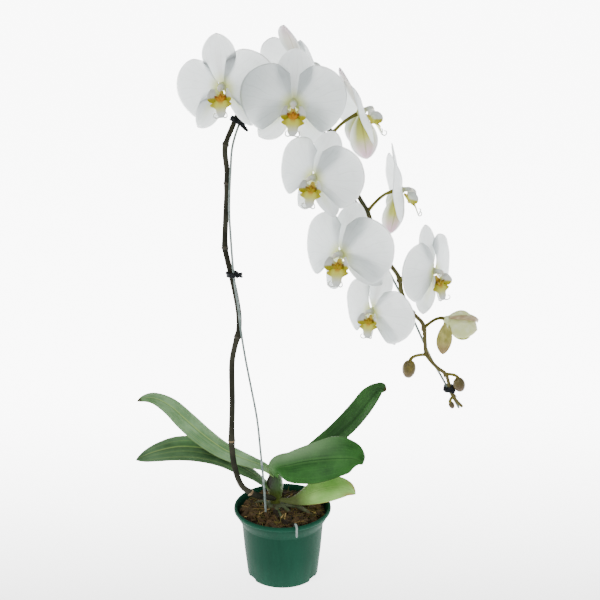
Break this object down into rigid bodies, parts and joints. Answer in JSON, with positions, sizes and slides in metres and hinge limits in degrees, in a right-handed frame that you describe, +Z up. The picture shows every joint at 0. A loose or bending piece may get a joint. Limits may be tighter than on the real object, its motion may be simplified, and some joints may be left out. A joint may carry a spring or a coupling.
{
  "type": "potted orchid",
  "caption": "White moth orchid with broad leaves and a tall arching flower spike tied to a support wire, growing in bark in a green nursery pot.",
  "frame": {"origin": "centre of the pot's flat underside", "axes": "+Z up along the pot's axis, -Y to the front, +X to the viewer's right, where the spike arches over"},
  "size_m": [0.3909, 0.1889, 0.6534],
  "materials": {
    "pot": "thin moulded plastic, deep green, satin with a brighter rolled rim",
    "bark": "rough dark bark and brown moss with ochre and pale chips",
    "crown": "waxy green leaf sheaths, brownish where the leaves clasp",
    "root": "matt grey-green aerial root skin",
    "leaf_light": "waxy leaf, light green with a pale midrib",
    "leaf_dark": "waxy leaf, dark green, semi-gloss",
    "leaf_yellow": "waxy leaf, yellow-green with a reddish edge",
    "spike": "smooth dark green-brown stem, olive on its flower stalks",
    "wire": "plain galvanised wire",
    "tie": "black coated twist tie",
    "tepal": "cool white petal, pale green-yellow at its throat",
    "lip": "white lip with yellow edges and an orange callus",
    "half_open": "pale green-yellow tepals with a pink-brown back",
    "bud": "olive-brown bud"
  },
  "bodies": {
    "root": {"pot": "pot", "bark": "bark", "crown": "crown", "roots": "root", "leaf_left_upper": "leaf_light", "leaf_left_lower": "leaf_dark", "leaf_right_back": "leaf_dark", "leaf_right_front": "leaf_dark", "leaf_small": "leaf_yellow", "spike": "spike", "wire": "wire", "tie_middle": "tie", "tie_top": "tie", "tie_tip": "tie", "bloom_1_tepals": "tepal", "bloom_1_lip": "lip", "bloom_2_tepals": "tepal", "bloom_2_lip": "lip", "bloom_3_tepals": "tepal", "bloom_3_lip": "lip", "bloom_4_tepals": "tepal", "bloom_4_lip": "lip", "bloom_5_tepals": "tepal", "bloom_5_lip": "lip", "bloom_6_tepals": "tepal", "bloom_6_lip": "lip", "bloom_7_tepals": "tepal", "bloom_7_lip": "lip", "bloom_8_tepals": "tepal", "bloom_8_lip": "lip", "bloom_9_tepals": "tepal", "bloom_9_lip": "lip", "bloom_half_open": "half_open", "bud_1": "bud", "bud_2": "bud", "bud_3": "bud"}
  },
  "joints": []
}
